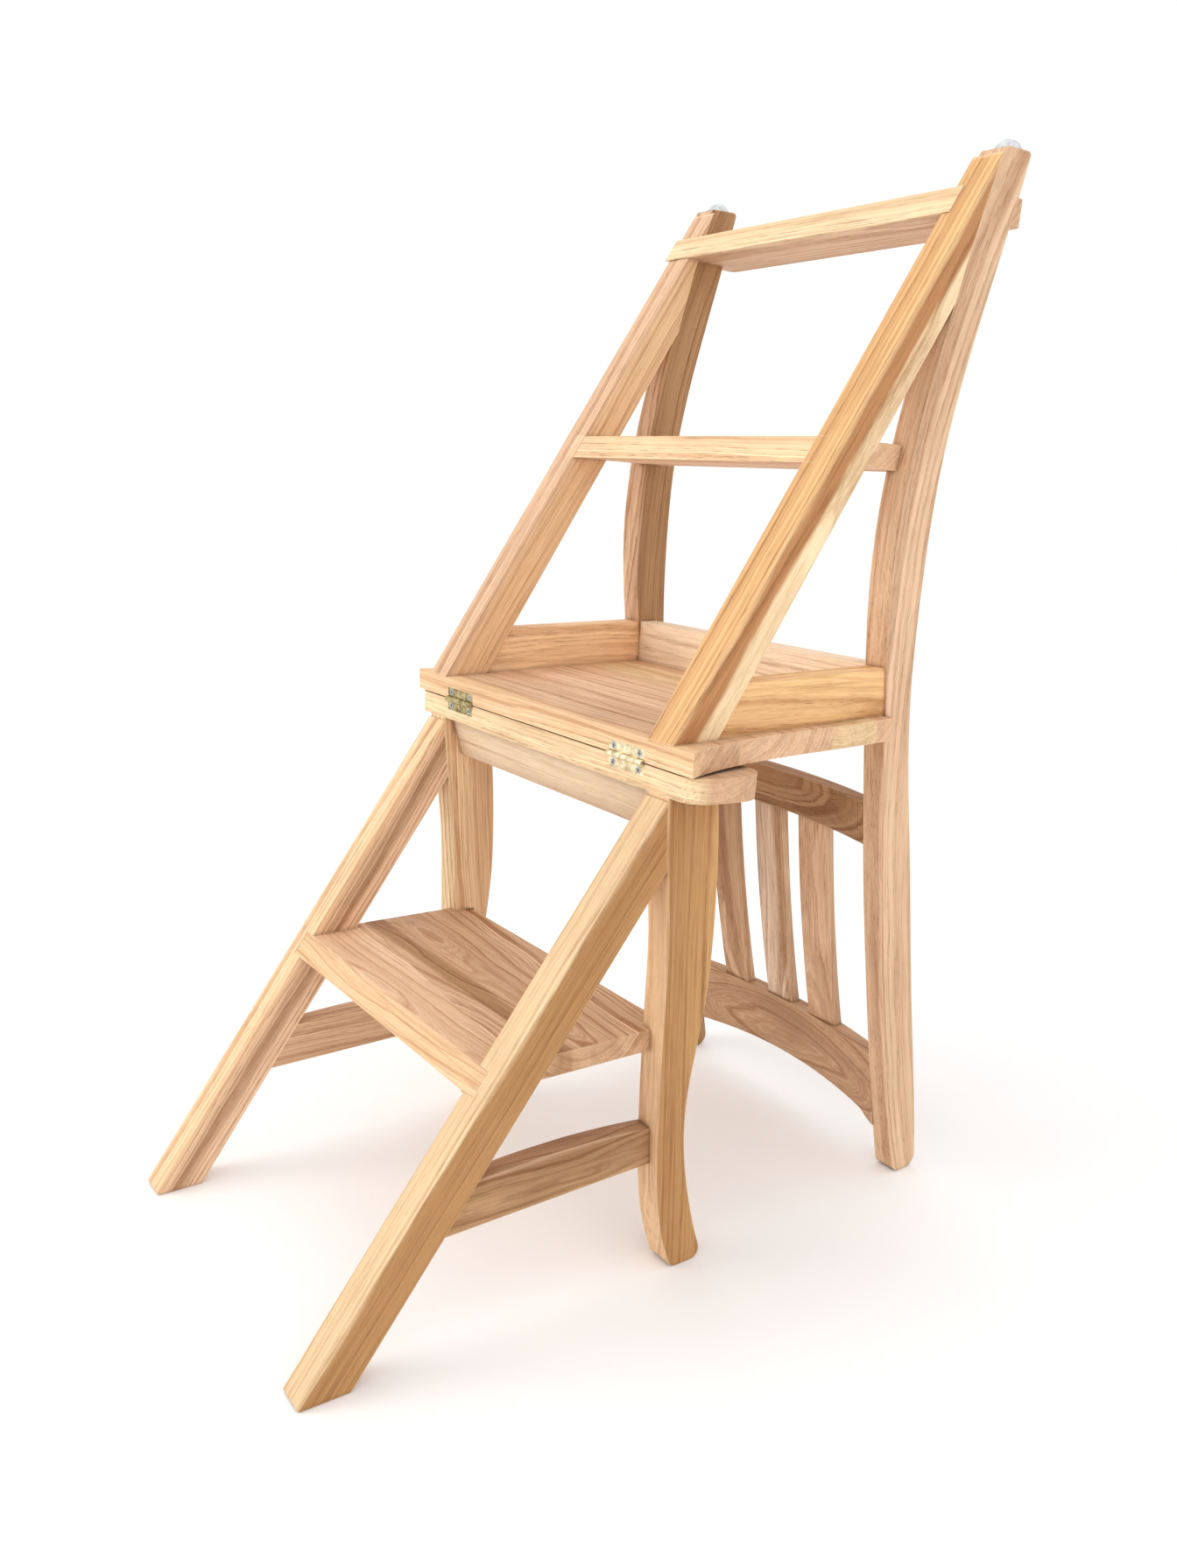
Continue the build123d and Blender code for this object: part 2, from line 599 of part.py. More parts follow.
def back_half():
    """Every mortise is cut to the tenon that fills it. The whole half is leaned at the end."""
    rung = middle_rung()
    tread = top_tread()
    rear = rear_apron()
    rails = [bowed_rail(BACK_RAIL), crest_rail()]
    slats = [slat(SLAT_SHIFT + (index - (SLATS - 1) / 2) * SLAT_PITCH) for index in range(SLATS)]
    staves = rear_seat_staves()
    pegs = back_dowels()
    upright = post()
    apron = side_apron(upright)
    bar = upper_stringer()
    glide, nail = post_glide()
    nodes = {
        "middle_rung": rung,
        "top_tread": tread,
        "rear_apron": cut_all(rear, pegs),
        "back_rail": cut_all(rails[0], slats),
        "crest_rail": cut_all(rails[1], slats),
        "back_half_dowels": Compound(pegs),
        "post_glides": Compound([glide, mirrored(glide)]),
        "glide_nails": Compound([nail, mirrored(nail)]),
        "moving_leaf_screws": Compound(screws(True)),
    }
    for index, one in enumerate(slats, 1):
        nodes[f"back_slat_{index}"] = one
    staves[0] = cut_all(staves[0], leaf_recesses(True))
    for index, stave in enumerate(staves, 1):
        nodes[f"rear_seat_stave_{index}"] = cut_all(stave, pegs)
    for side, turn in SIDES:
        one_apron = turn(apron)
        tools = [rung, tread, one_apron, rear, turn(nail), *rails, *staves]
        nodes[f"{side}_post"] = cut_all(turn(upright), tools)
        nodes[f"{side}_upper_stringer"] = cut_all(turn(bar), [rung, tread, *pegs])
        nodes[f"{side}_side_apron"] = cut_all(one_apron, pegs)
        nodes[f"{side}_hinge_moving_leaf"] = turn(leaf(HINGE_X, True))
    lean = Pos(0, AXIS_Y, SEAT_H) * Rot(LEAN, 0, 0) * Pos(0, -AXIS_Y, -SEAT_H)
    return {name: lean * shape for name, shape in nodes.items()}


def main():
    nodes = {**front_half(), **back_half()}
    extent = Compound([solid for shape in nodes.values() for solid in shape.solids()]).bounding_box()
    shift = -(extent.min.Y + extent.max.Y) / 2
    os.makedirs("parts", exist_ok=True)
    for name, shape in nodes.items():
        placed = Pos(0, shift, 0) * shape
        solids = placed.solids()
        export_step(solids[0] if len(solids) == 1 else Compound(solids), f"parts/{name}.step")
    print(f"hinge axis at y {AXIS_Y + shift:.4f}, z {SEAT_H:.1f}; height {extent.max.Z:.2f}")


main()
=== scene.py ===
import json
import math
import bpy
from mathutils import Matrix, Vector


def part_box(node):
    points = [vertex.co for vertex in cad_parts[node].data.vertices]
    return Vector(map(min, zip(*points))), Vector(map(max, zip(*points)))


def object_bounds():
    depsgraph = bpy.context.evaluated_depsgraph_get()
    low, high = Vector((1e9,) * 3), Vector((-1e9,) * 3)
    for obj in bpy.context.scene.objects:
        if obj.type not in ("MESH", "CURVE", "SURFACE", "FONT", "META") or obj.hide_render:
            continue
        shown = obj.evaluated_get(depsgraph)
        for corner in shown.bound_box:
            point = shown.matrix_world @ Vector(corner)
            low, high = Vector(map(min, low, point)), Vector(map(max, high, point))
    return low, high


# Raw teak library steps that fold over into a chair, standing open. Metres.

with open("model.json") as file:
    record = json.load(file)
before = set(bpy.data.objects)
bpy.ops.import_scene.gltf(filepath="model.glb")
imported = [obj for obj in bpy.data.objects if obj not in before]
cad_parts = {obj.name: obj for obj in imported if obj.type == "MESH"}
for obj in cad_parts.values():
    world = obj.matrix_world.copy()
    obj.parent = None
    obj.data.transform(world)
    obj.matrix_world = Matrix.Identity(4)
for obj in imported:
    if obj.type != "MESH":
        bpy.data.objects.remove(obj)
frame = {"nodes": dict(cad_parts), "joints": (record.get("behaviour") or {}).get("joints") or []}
cad_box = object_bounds()
nodes = frame["nodes"]
hinge = Vector(frame["joints"][0]["pos_m"])

PIN_PROUD = 0.0015          # the hinge pins stand this far in front of the seat boards' edges
SLOPE = 0.70                # run over rise of the climbing face
LEAN = 2.0                  # degrees that the upper half leans towards the climber
POST_WAIST = 0.60           # height where a post comes closest to the climber
POST_CURVE_BELOW = 0.33     # how fast it curves away again, per metre squared
POST_CURVE_ABOVE = 0.80

# Directions that the grain runs in and that faces look in
ALONG_X = Vector((1, 0, 0))
ALONG_Y = Vector((0, 1, 0))
ALONG_Z = Vector((0, 0, 1))
OUT = ALONG_X
FRONT = -ALONG_Y
LEG = Vector((0, -0.08, 1))
SLAT = Vector((0, -0.21, 1))
DOWN_LOWER = Vector((0, -SLOPE, -1)).normalized()
CLIMB_LOWER = Vector((0, -1, SLOPE)).normalized()
LEANING = Matrix.Rotation(math.radians(LEAN), 3, "X")
UP_UPPER = LEANING @ Vector((0, SLOPE, 1)).normalized()
CLIMB_UPPER = LEANING @ CLIMB_LOWER


# ---- material building blocks ----
MIX_FACTOR, MIX_A, MIX_B, MIX_RESULT = 0, 6, 7, 2       # the colour sockets of a Mix node


def linear(rgb):
    """Linear colour from 0-255 display values, none of them close to black."""
    return tuple(((channel / 255 + 0.055) / 1.055) ** 2.4 for channel in rgb) + (1.0,)


def shade(rgb, scale):
    """Linear colour of a tone made lighter or darker."""
    return linear([min(channel * by, 255) for channel, by in zip(rgb, scale)])


class Net:
    """A material's node tree, built a node at a time."""

    def __init__(self, name):
        self.material = bpy.data.materials.new(name)
        self.material.use_nodes = True
        self.tree = self.material.node_tree
        self.tree.nodes.clear()

    def feed(self, socket, value):
        if isinstance(value, bpy.types.NodeSocket):
            self.tree.links.new(value, socket)
        else:
            socket.default_value = value

    def add(self, kind, inputs=(), **settings):
        node = self.tree.nodes.new("ShaderNode" + kind)
        for key, value in settings.items():
            setattr(node, key, value)
        for key, value in dict(inputs).items():
            self.feed(node.inputs[key], value)
        return node

    def math(self, operation, *values, clamp=False):
        node = self.add("Math", enumerate(values), operation=operation, use_clamp=clamp)
        return node.outputs[0]

    def vector(self, operation, *values):
        node = self.add("VectorMath", enumerate(values), operation=operation)
        return node.outputs["Value" if operation in ("DOT_PRODUCT", "LENGTH") else "Vector"]

    def noise(self, vector, scale=1.0, detail=3.0, roughness=0.55, output="Fac"):
        inputs = {"Vector": vector, "Scale": scale, "Detail": detail, "Roughness": roughness}
        return self.add("TexNoise", inputs).outputs[output]

    def stretch(self, position, grain):
        """Coordinates for a noise with so much detail per metre, along and across the grain."""
        along, across = grain
        inputs = {"Vector": position, "Scale": (along, across, across)}
        return self.add("Mapping", inputs).outputs[0]

    def mix(self, factor, a, b):
        inputs = {MIX_FACTOR: factor, MIX_A: a, MIX_B: b}
        return self.add("Mix", inputs, data_type="RGBA").outputs[MIX_RESULT]

    def span(self, value, low, high, to_low=0.0, to_high=1.0):
        """value from low to high becomes to_low to to_high, eased at both ends."""
        inputs = {"Value": value, "From Min": low, "From Max": high,
                  "To Min": to_low, "To Max": to_high}
        return self.add("MapRange", inputs, interpolation_type="SMOOTHSTEP").outputs[0]

    def finish(self, inputs, height=None, depth=None):
        """A shader with these inputs, and with a relief of this height times depth metres."""
        shader = self.add("BsdfPrincipled", inputs)
        if height is not None:
            relief = self.add("Bump", {"Height": height, "Strength": 1.0, "Distance": depth})
            self.tree.links.new(relief.outputs[0], shader.inputs["Normal"])
        output = self.add("OutputMaterial")
        self.tree.links.new(shader.outputs[0], output.inputs[0])
        return self.material


# ---- teak ----
# Detail per metre, along and across the grain
SLOW_BEND = (2.4, 9.0)
QUICK_BEND = (16.0, 70.0)
FIBRES = (9.0, 420.0)
BLOTCHES = (7.0, 24.0)
PORES = (55.0, 1500.0)
WEATHER = (5.0, 16.0)

RIPPLE = 0.0035             # how far the quick bend pushes a ring sideways
UNEVEN_RINGS = 5.0          # how many rings' width their spacing wanders by
LATE_FROM = 0.35            # part of a ring's width where its dark wood sets in
LATE_TO = 0.93              # and where it stops
FAINT_LINE = 0.15           # strength of the weakest ring lines
NOISE_ROW = 3.7             # any one line through the noise, for what follows the rings
SEED_STEP = 1.37            # how far apart two pieces' timbers are taken from the noise

# Noise levels between which a mark comes in
LINE_SHOWS = (0.40, 0.64)
HAIR_SHOWS = (0.40, 0.70)
BROAD_SHOWS = (0.36, 0.64)
FIBRE_SHOWS = (0.48, 0.74)
PORE_SHOWS = (0.57, 0.70)
STAIN_SHOWS = (0.42, 0.68)

# How much of its shade a mark adds at most
HAIR_WEIGHT = 0.46
BROAD_WEIGHT = 0.36
FIBRE_WEIGHT = 0.46
PORE_WEIGHT = 0.5
END_WEIGHT = 0.5
CORNER_SHADE_WEIGHT = 0.6

# A tone's red, green and blue are multiplied by these
EARLY_WOOD = (1.06, 1.09, 1.12)
LATE_WOOD = (0.80, 0.71, 0.62)
FIBRE_SHADE = (0.70, 0.60, 0.50)
DARKEST = (0.62, 0.5, 0.4)
END_SHADE = (0.97, 0.94, 0.9)

# Painted shade darkening corners and the gaps between pieces, mixed with some dirt in the joints
JOINT_SHADOW = (104, 66, 36)
CORNER_SHADE_REACH = 0.006         # how near another face is for painted shade to darken a corner or joint
# Pale arrises: partly rubbed wear, partly a painted highlight
EDGE_WEAR_AND_HIGHLIGHT = (246, 216, 176)
PALE_EDGE_RADIUS = 0.0016        # how far in from an arris it is made paler, as rubbed wear and painted highlight
SAP_WAVE = 0.012            # how far the sapwood's edge wanders
SAP_FADE = (-0.002, 0.003)  # from and to where the sapwood gives way, about its depth
BAND_FADE = (-0.003, 0.002)

# How deep the surface is, and how much of that each mark makes
TEAK_RELIEF = 0.0003
FIBRE_RAISED = 0.6
LINE_SUNK = 0.25
PORE_SUNK = 0.9


def follow_post(net, position):
    """Straighten a post's curve, so that its grain runs with it."""
    parts = net.add("SeparateXYZ", {0: position}).outputs
    above = net.math("SUBTRACT", parts["Z"], POST_WAIST)
    upper = net.math("GREATER_THAN", above, 0.0)
    more = net.math("MULTIPLY", upper, POST_CURVE_ABOVE - POST_CURVE_BELOW)
    curve = net.math("ADD", more, POST_CURVE_BELOW)
    away = net.math("MULTIPLY", net.math("MULTIPLY", above, above), curve)
    straight = net.math("SUBTRACT", parts["Y"], away)
    return net.add("CombineXYZ", {"X": parts["X"], "Y": straight, "Z": parts["Z"]}).outputs[0]


def grain_space(net, node, along, face, pith, seed, curved):
    """Coordinates in a piece's own timber: x along the grain, y and z from the pith."""
    low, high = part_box(node)
    centre = (Vector(low) + Vector(high)) / 2
    x_axis = along.normalized()
    y_axis = face.cross(x_axis).normalized()
    z_axis = x_axis.cross(y_axis)
    turn = Matrix((x_axis, y_axis, z_axis))
    shift = Vector((seed * SEED_STEP, pith[0], pith[1])) - turn @ centre
    place = net.add("TexCoord")
    position = follow_post(net, place.outputs["Object"]) if curved else place.outputs["Object"]
    inputs = {"Vector": position, "Location": shift, "Rotation": turn.to_euler()}
    return place, net.add("Mapping", inputs).outputs[0]


def outer_face(node, side):
    """How far out a piece reaches towards one side."""
    return max(side.dot(vertex.co) for vertex in nodes[node].data.vertices)


def growth_rings(net, timber, ring, wander):
    """Late-wood lines, hair lines between them and broad tone changes, all following the rings."""
    slow = net.noise(net.stretch(timber, SLOW_BEND), detail=2.0, roughness=0.5, output="Color")
    quick = net.noise(net.stretch(timber, QUICK_BEND), roughness=0.6, output="Color")
    half = (0.5, 0.5, 0.5)
    bend = net.vector("MULTIPLY", net.vector("SUBTRACT", slow, half), (0, wander, wander))
    ripple = net.vector("MULTIPLY", net.vector("SUBTRACT", quick, half), (0, RIPPLE, RIPPLE))
    moved = net.vector("ADD", net.vector("ADD", timber, bend), ripple)
    radius = net.vector("LENGTH", net.vector("MULTIPLY", moved, (0, 1, 1)))
    count = net.math("DIVIDE", radius, ring)

    def across(per_ring, detail, roughness=0.5):
        """Noise that changes only from ring to ring."""
        inputs = {"X": net.math("MULTIPLY", count, per_ring), "Y": NOISE_ROW}
        depth = net.add("CombineXYZ", inputs).outputs[0]
        return net.noise(depth, detail=detail, roughness=roughness)

    uneven = net.math("MULTIPLY", across(per_ring=0.3, detail=1.0), UNEVEN_RINGS)
    turn = net.math("FRACT", net.math("ADD", count, uneven))
    rise = net.span(turn, LATE_FROM, LATE_TO)
    fall = net.span(turn, LATE_TO, 1.0, to_low=1.0, to_high=0.0)
    strength = net.span(across(per_ring=0.6, detail=2.0), *LINE_SHOWS, FAINT_LINE, 1.0)
    lines = net.math("MULTIPLY", net.math("MULTIPLY", rise, fall), strength)
    hair = across(per_ring=3.1, detail=3.0, roughness=0.7)
    broad = across(per_ring=0.16, detail=2.0)
    return lines, hair, broad


def late_wood(net, lines, hair, broad, blotches, contrast):
    """How much of the dark tone shows, 0 to 1."""
    lines = net.math("MULTIPLY", lines, net.span(blotches, 0.3, 0.7, 0.35, 0.95))
    hair = net.math("MULTIPLY", net.span(hair, *HAIR_SHOWS), HAIR_WEIGHT)
    broad = net.math("MULTIPLY", net.span(broad, *BROAD_SHOWS), BROAD_WEIGHT)
    fine = net.math("MULTIPLY", net.math("ADD", lines, hair), contrast)
    return net.math("ADD", fine, broad, clamp=True)


def end_grain(net, colour, place, along, heart, dark):
    """Mottled tone where the timber is cut across."""
    facing = net.vector("DOT_PRODUCT", place.outputs["Normal"], along.normalized())
    cut = net.span(net.math("ABSOLUTE", facing), 0.72, 0.92)
    mottle = net.noise(place.outputs["Object"], scale=90.0, detail=5.0, roughness=0.65)
    tone = net.mix(net.span(mottle, 0.35, 0.75, 0.0, 0.6), shade(heart, END_SHADE), dark)
    return net.mix(net.math("MULTIPLY", cut, END_WEIGHT), colour, tone)


def corner_shade_and_pale_edges(net, colour, blotches):
    """Painted shade, with some dirt, in corners and where pieces meet; pale arrises, partly rubbed
    wear and partly painted highlight.
    """
    # painted shade: ambient occlusion darkens corners and narrow gaps towards a dark brown,
    # standing in for shade and some dirt
    corners = net.add("AmbientOcclusion", {"Distance": CORNER_SHADE_REACH}, samples=6).outputs["AO"]
    colour = net.mix(net.span(corners, 0.25, 0.85, CORNER_SHADE_WEIGHT, 0.0), colour, linear(JOINT_SHADOW))
    # painted highlight and rubbed wear: arrises turn paler in patches
    edge = net.add("Bevel", {"Radius": PALE_EDGE_RADIUS}, samples=4).outputs[0]
    turned = net.vector("DOT_PRODUCT", edge, net.add("NewGeometry").outputs["Normal"])
    patchy = net.span(blotches, 0.35, 0.6, 0.1, 0.4)
    edge_wear_and_highlight = net.math("MULTIPLY", net.span(turned, 0.995, 0.93), patchy)
    return net.mix(edge_wear_and_highlight, colour, linear(EDGE_WEAR_AND_HIGHLIGHT))


def teak(node, seed, along, face, heart, sap=None, sap_side=None, sap_depth=0.004, band=None,
         curved=False, pith=(0.02, -0.08), ring=0.0045, wander=0.02, contrast=0.9, stain=0.14):
    """Raw sanded teak for one piece, in 0-255 tones.

    sap is the tone of the face towards sap_side, and sap_depth metres in from it. band is a
    darker stripe, as (tone, depth in from that face, half width).
    """
    net = Net("teak_" + node)
    place, timber = grain_space(net, node, along, face, pith, seed, curved)
    lines, hair, broad = growth_rings(net, timber, ring, wander)
    fibres = net.noise(net.stretch(timber, FIBRES), roughness=0.6)
    blotches = net.noise(net.stretch(timber, BLOTCHES), detail=4.0, roughness=0.6)
    pores = net.noise(net.stretch(timber, PORES), detail=2.0, roughness=0.5)
    late = late_wood(net, lines, hair, broad, blotches, contrast)
    fibre_mask = net.math("MULTIPLY", net.span(fibres, *FIBRE_SHOWS), FIBRE_WEIGHT)
    dark = shade(heart, DARKEST)

    def toned(tone):
        wood = net.mix(late, shade(tone, EARLY_WOOD), shade(tone, LATE_WOOD))
        return net.mix(fibre_mask, wood, shade(tone, FIBRE_SHADE))

    colour = toned(heart)
    if sap or band:
        reach = net.vector("DOT_PRODUCT", place.outputs["Object"], sap_side)
        depth = net.math("SUBTRACT", outer_face(node, sap_side), reach)
        wave = net.math("MULTIPLY", net.math("SUBTRACT", blotches, 0.5), SAP_WAVE)
        wavy = net.math("ADD", depth, wave)
    if sap:
        towards = net.vector("DOT_PRODUCT", place.outputs["Normal"], sap_side)
        edge = [sap_depth + fade for fade in SAP_FADE]
        near = net.span(wavy, *edge, 1.0, 0.0)
        shown = net.math("MAXIMUM", near, net.span(towards, 0.6, 0.85))
        colour = net.mix(shown, colour, toned(sap))
    if band:
        tone, middle, half_width = band
        away = net.math("ABSOLUTE", net.math("SUBTRACT", wavy, middle))
        edge = [half_width + fade for fade in BAND_FADE]
        shown = net.span(away, *edge, 1.0, 0.0)
        colour = net.mix(shown, colour, toned(tone))
    more_in_lines = net.span(lines, 0.1, 0.7, 0.35, 1.0)
    pore_mask = net.math("MULTIPLY", net.span(pores, *PORE_SHOWS), more_in_lines)
    colour = net.mix(net.math("MULTIPLY", pore_mask, PORE_WEIGHT), colour, dark)
    colour = end_grain(net, colour, place, along, heart, dark)
    weather = net.noise(net.stretch(timber, WEATHER), detail=4.0, roughness=0.65)
    colour = net.mix(net.span(weather, *STAIN_SHOWS, 0.0, stain), colour, dark)
    # painted shade in corners and between pieces, and pale arrises that are partly painted
    # highlight
    colour = corner_shade_and_pale_edges(net, colour, blotches)

    raised = net.math("MULTIPLY", fibres, FIBRE_RAISED)
    height = net.math("ADD", raised, net.math("MULTIPLY", lines, -LINE_SUNK))
    height = net.math("SUBTRACT", height, net.math("MULTIPLY", pore_mask, PORE_SUNK))
    grainy = net.math("ADD", fibres, net.math("MULTIPLY", lines, 0.2))
    roughness = net.span(grainy, 0.3, 0.9, 0.55, 0.78)
    inputs = {"Base Color": colour, "Roughness": roughness, "Specular IOR Level": 0.3}
    return net.finish(inputs, height, TEAK_RELIEF)


# ---- metal and nylon ----
BRUSHED = (90.0, 1500.0)
BRASS_RELIEF = 0.00004
STEEL_RELIEF = 0.00003
NYLON_RELIEF = 0.00008

# Bright and dull tone of each
PALE_BRASS = (250, 236, 200), (206, 184, 140)
DARK_BRASS = (196, 178, 128), (120, 108, 70)
ZINC = (206, 208, 208), (120, 116, 106)
NYLON = (218, 222, 226), (178, 184, 190)
TARNISH = (84, 74, 46)


def aged_brass(name, tones, tarnish):
    bright, dull = tones
    net = Net(name)
    place = net.add("TexCoord").outputs["Object"]
    cloud = net.noise(place, scale=160.0, detail=5.0, roughness=0.65)
    brushed = net.noise(net.stretch(place, BRUSHED), detail=2.0)
    spots = net.noise(place, scale=600.0, roughness=0.6)
    colour = net.mix(net.span(cloud, 0.4, 0.7), linear(bright), linear(dull))
    colour = net.mix(net.span(spots, 0.56, 0.7, 0.0, tarnish), colour, linear(TARNISH))
    uneven = net.math("ADD", cloud, net.math("MULTIPLY", brushed, 0.4))
    roughness = net.span(uneven, 0.4, 1.0, 0.3, 0.6)
    metallic = net.span(spots, 0.56, 0.7, 0.9, 0.5)
    inputs = {"Base Color": colour, "Roughness": roughness, "Metallic": metallic}
    return net.finish(inputs, brushed, BRASS_RELIEF)


def zinc_steel():
    bright, dull = ZINC
    net = Net("zinc_steel")
    place = net.add("TexCoord").outputs["Object"]
    cloud = net.noise(place, scale=900.0, detail=4.0, roughness=0.6)
    colour = net.mix(net.span(cloud, 0.35, 0.7), linear(bright), linear(dull))
    roughness = net.span(cloud, 0.3, 0.7, 0.22, 0.5)
    inputs = {"Base Color": colour, "Roughness": roughness, "Metallic": 1.0}
    return net.finish(inputs, cloud, STEEL_RELIEF)


def white_nylon():
    bright, dull = NYLON
    net = Net("white_nylon")
    place = net.add("TexCoord").outputs["Object"]
    cloud = net.noise(place, scale=220.0, detail=4.0, roughness=0.6)
    colour = net.mix(net.span(cloud, 0.35, 0.7), linear(bright), linear(dull))
    roughness = net.span(cloud, 0.3, 0.7, 0.3, 0.5)
    inputs = {"Base Color": colour, "Roughness": roughness, "Coat Weight": 0.1,
              "Subsurface Weight": 0.25, "Subsurface Scale": 0.004}
    return net.finish(inputs, cloud, NYLON_RELIEF)


# ---- what each timber piece was cut from ----
# Tones of the boards in one stack of teak. The darker ones are also the stripes in some pieces.
PALE = (244, 216, 184)
STRAW = (226, 178, 122)
CREAM = (236, 204, 160)
PEACH = (238, 198, 154)
ROSE = (232, 192, 156)
TAN = (218, 178, 142)
GOLD = (232, 184, 128)
ASH = (220, 188, 160)
DRIFT = (200, 160, 124)
HONEY = (188, 140, 88)
UMBER = (180, 138, 96)
RUST = (182, 126, 78)


def lengthwise(heart, along, sap_side=FRONT, pith=(0.05, -0.05), **more):
    """A bar seen from the side, its sapwood towards the climber."""
    return dict(face=OUT, heart=heart, along=along, sap_side=sap_side, pith=pith, **more)


def board(heart, sap_side=FRONT, pith=(0.03, -0.06), **more):
    """A level board running across the steps, its sapwood at the front edge."""
    return dict(along=ALONG_X, face=ALONG_Z, heart=heart, sap_side=sap_side, pith=pith, **more)


def rail(heart, along=ALONG_X, **more):
    """A rail on edge across the back or under the seat, a slat between two, or a dowel."""
    return dict(along=along, face=ALONG_Y, heart=heart, **more)


TEAK = {
    "left_front_leg": lengthwise(PEACH, LEG, sap=CREAM),
    "right_front_leg": lengthwise(HONEY, LEG, sap=PEACH, sap_depth=0.001, ring=0.008, contrast=0.7),
    "left_lower_stringer": lengthwise(
        ROSE, DOWN_LOWER, sap=PEACH, sap_side=CLIMB_LOWER, band=(DRIFT, 0.017, 0.008)),
    "right_lower_stringer": lengthwise(
        HONEY, DOWN_LOWER, sap=CREAM, sap_side=CLIMB_LOWER, sap_depth=0.002,
        ring=0.008, contrast=0.8),
    "left_upper_stringer": lengthwise(PEACH, UP_UPPER, sap=TAN, sap_side=CLIMB_UPPER, contrast=0.8),
    "right_upper_stringer": lengthwise(
        CREAM, UP_UPPER, sap=STRAW, sap_side=CLIMB_UPPER, sap_depth=0.003, pith=(0.03, -0.12),
        band=(RUST, 0.011, 0.008), ring=0.006, contrast=0.8),
    "left_post": lengthwise(UMBER, ALONG_Z, sap=TAN, curved=True, stain=0.2),
    "right_post": lengthwise(
        TAN, ALONG_Z, curved=True, pith=(0.02, -0.12), ring=0.009, contrast=0.7),
    "left_side_stretcher": lengthwise(TAN, ALONG_Y),
    "right_side_stretcher": lengthwise(
        UMBER, ALONG_Y, sap=TAN, sap_side=ALONG_Z, pith=(0.0, -0.03), wander=0.04,
        stain=0.4, contrast=1.3),
    "left_side_apron": lengthwise(PEACH, ALONG_Y, pith=(0.03, -0.07), contrast=0.7),
    "right_side_apron": lengthwise(GOLD, ALONG_Y, pith=(0.01, -0.03), ring=0.008),
    "lower_tread_front_board": board(
        ROSE, sap=PEACH, sap_depth=0.012, pith=(0.02, -0.05), wander=0.05),
    "lower_tread_back_board": board(
        TAN, pith=(0.01, -0.05), wander=0.07, band=(UMBER, 0.040, 0.010), contrast=1.3),
    "front_seat_board": board(TAN, sap=CREAM, sap_depth=0.014, contrast=0.6),
    "rear_seat_stave_1": board(TAN, sap=PEACH, sap_depth=0.012, pith=(0.05, -0.05)),
    "rear_seat_stave_2": board(ROSE),
    "rear_seat_stave_3": board(ROSE, pith=(0.07, -0.03)),
    "rear_seat_stave_4": board(CREAM, pith=(0.01, -0.06), contrast=0.7),
    "rear_seat_stave_5": board(ROSE, pith=(0.05, -0.04)),
    "middle_rung": board(ROSE, sap=PEACH, sap_side=CLIMB_UPPER, contrast=0.6),
    "top_tread": board(TAN, sap=CREAM, sap_side=CLIMB_UPPER, contrast=0.6),
    "front_apron": rail(PALE, pith=(0.01, 0.05), contrast=0.35),
    "rear_apron": rail(PALE, pith=(0.03, -0.07), contrast=0.35),
    "back_rail": rail(UMBER, pith=(0.03, -0.06), stain=0.3, contrast=1.2),
    "crest_rail": rail(
        DRIFT, pith=(0.0, -0.045), wander=0.05, ring=0.006, stain=0.35, contrast=1.2),
    "back_slat_1": rail(DRIFT, SLAT, pith=(0.02, -0.06), stain=0.3),
    "back_slat_2": rail(
        ASH, SLAT, pith=(-0.03, -0.06), stain=0.45, band=(DRIFT, 0.003, 0.005), sap_side=OUT),
    "back_slat_3": rail(TAN, SLAT, pith=(0.01, -0.05), stain=0.35),
    "front_half_dowels": rail(PEACH, ALONG_Z),
    "back_half_dowels": rail(PEACH, ALONG_Z),
}

TIMBER_ARRIS = 0.0011
LEAF_ARRIS = 0.0002
ARRIS_ANGLE = 35            # degrees that an edge turns by, or more, to be eased
SEAM = 0.00002              # corners closer together than this are one


def ease_edges(piece, width, segments):
    """Soft arrises, as left by a sanding block."""
    weld = piece.modifiers.new("weld", "WELD")
    weld.merge_threshold = SEAM
    bevel = piece.modifiers.new("eased_edges", "BEVEL")
    bevel.width = width
    bevel.segments = segments
    bevel.limit_method = "ANGLE"
    bevel.angle_limit = math.radians(ARRIS_ANGLE)
    bevel.miter_outer = "MITER_ARC"


def dress(piece, material):
    piece.data.materials.clear()
    piece.data.materials.append(material)


def dress_all():
    pale_brass = aged_brass("pale_brass", PALE_BRASS, tarnish=0.45)
    dark_brass = aged_brass("dark_brass", DARK_BRASS, tarnish=0.85)
    steel = zinc_steel()
    nylon = white_nylon()
    for seed, (name, piece) in enumerate(sorted(nodes.items()), start=1):
        if name in TEAK:
            dress(piece, teak(name, seed, **TEAK[name]))
            ease_edges(piece, TIMBER_ARRIS, segments=2)
        elif name.endswith("leaf"):
            dress(piece, pale_brass if name.startswith("right") else dark_brass)
            ease_edges(piece, LEAF_ARRIS, segments=1)
        elif name == "post_glides":
            dress(piece, nylon)
        else:
            dress(piece, steel)


# ---- floor, light and camera ----
FLOOR_REACH = 40.0
FLOOR_DROP = 0.0003         # below the lowest foot
WORLD_STRENGTH = 1.05
AIM = (0, 0, 0.45)          # the lights point at the seat

# The eye, from the middle of the seat boards' front edge and the floor, and its turn in degrees
EYE_RIGHT = 0.8327
EYE_AHEAD = 0.5674
EYE_UP = 0.6410
YAW, PITCH, ROLL = 53.96, -19.27, 3.44
SENSOR_MM = 36.0
LENS_MM = 27.363
SHIFT_X, SHIFT_Y = 0.0175, 0.0789


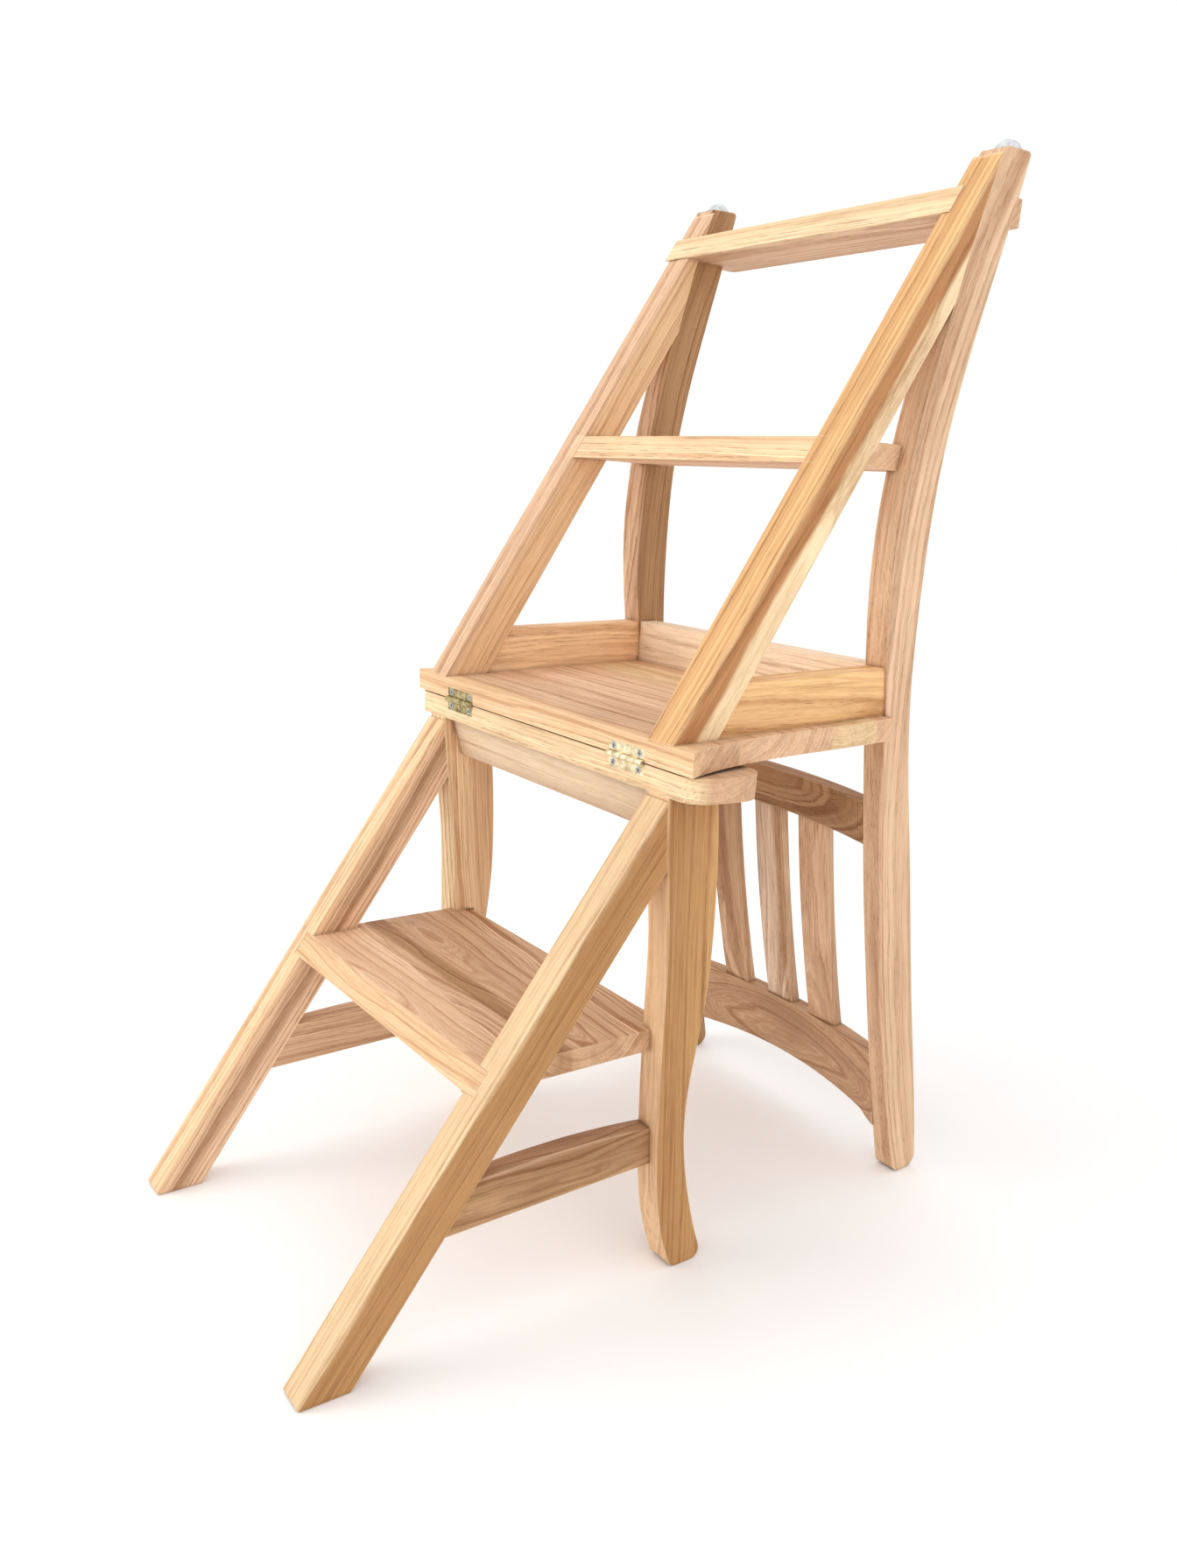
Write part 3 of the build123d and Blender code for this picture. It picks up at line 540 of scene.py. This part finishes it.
def floor():
    net = Net("pale_floor")
    cloud = net.noise(net.add("TexCoord").outputs["Object"], scale=0.7, roughness=0.5)
    colour = net.mix(net.span(cloud, 0.3, 0.7), (0.95, 0.95, 0.95, 1), (0.97, 0.97, 0.97, 1))
    material = net.finish({"Base Color": colour, "Roughness": 0.75, "Specular IOR Level": 0.2})
    mesh = bpy.data.meshes.new("floor")
    square = ((-1, -1), (1, -1), (1, 1), (-1, 1))
    corners = [(FLOOR_REACH * x, FLOOR_REACH * y, 0) for x, y in square]
    mesh.from_pydata(corners, [], [(0, 1, 2, 3)])
    mesh.materials.append(material)
    plane = bpy.data.objects.new("floor", mesh)
    plane.location.z = cad_box[0][2] - FLOOR_DROP
    bpy.context.scene.collection.objects.link(plane)


def soft_light(name, position, size, power, colour):
    data = bpy.data.lights.new(name, "AREA")
    data.shape = "DISK"
    data.size = size
    data.energy = power
    data.color = colour
    light = bpy.data.objects.new(name, data)
    light.location = position
    light.rotation_euler = (Vector(AIM) - Vector(position)).to_track_quat("-Z", "Y").to_euler()
    bpy.context.scene.collection.objects.link(light)


def studio():
    world = bpy.data.worlds.new("studio")
    world.use_nodes = True
    background = world.node_tree.nodes["Background"]
    background.inputs["Color"].default_value = (1.0, 1.0, 1.0, 1)
    background.inputs["Strength"].default_value = WORLD_STRENGTH
    bpy.context.scene.world = world
    soft_light("key", (-0.9, -2.4, 2.2), size=2.0, power=30, colour=(1.0, 0.97, 0.94))
    soft_light("fill", (2.6, -0.6, 1.3), size=2.2, power=9, colour=(1.0, 0.98, 0.95))


def camera():
    """The viewpoint: right of the climbing side, a little above the seat."""
    yaw, pitch, roll = (math.radians(angle) for angle in (YAW, PITCH, ROLL))
    level_part = math.cos(pitch)
    forward = Vector((-math.sin(yaw) * level_part, math.cos(yaw) * level_part, math.sin(pitch)))
    level = forward.cross(ALONG_Z).normalized()
    upright = level.cross(forward)
    right = level * math.cos(roll) + upright * math.sin(roll)
    up = upright * math.cos(roll) - level * math.sin(roll)
    data = bpy.data.cameras.new("camera")
    data.sensor_width = SENSOR_MM
    data.lens = LENS_MM
    data.shift_x = SHIFT_X
    data.shift_y = SHIFT_Y
    eye = bpy.data.objects.new("camera", data)
    turn = Matrix((right, up, -forward)).transposed().to_4x4()
    place = Vector((EYE_RIGHT, hinge.y + PIN_PROUD - EYE_AHEAD, EYE_UP))
    eye.matrix_world = Matrix.Translation(place) @ turn
    bpy.context.scene.collection.objects.link(eye)
    bpy.context.scene.camera = eye


camera()
dress_all()
floor()
studio()
bpy.context.scene.view_settings.view_transform = "Standard"
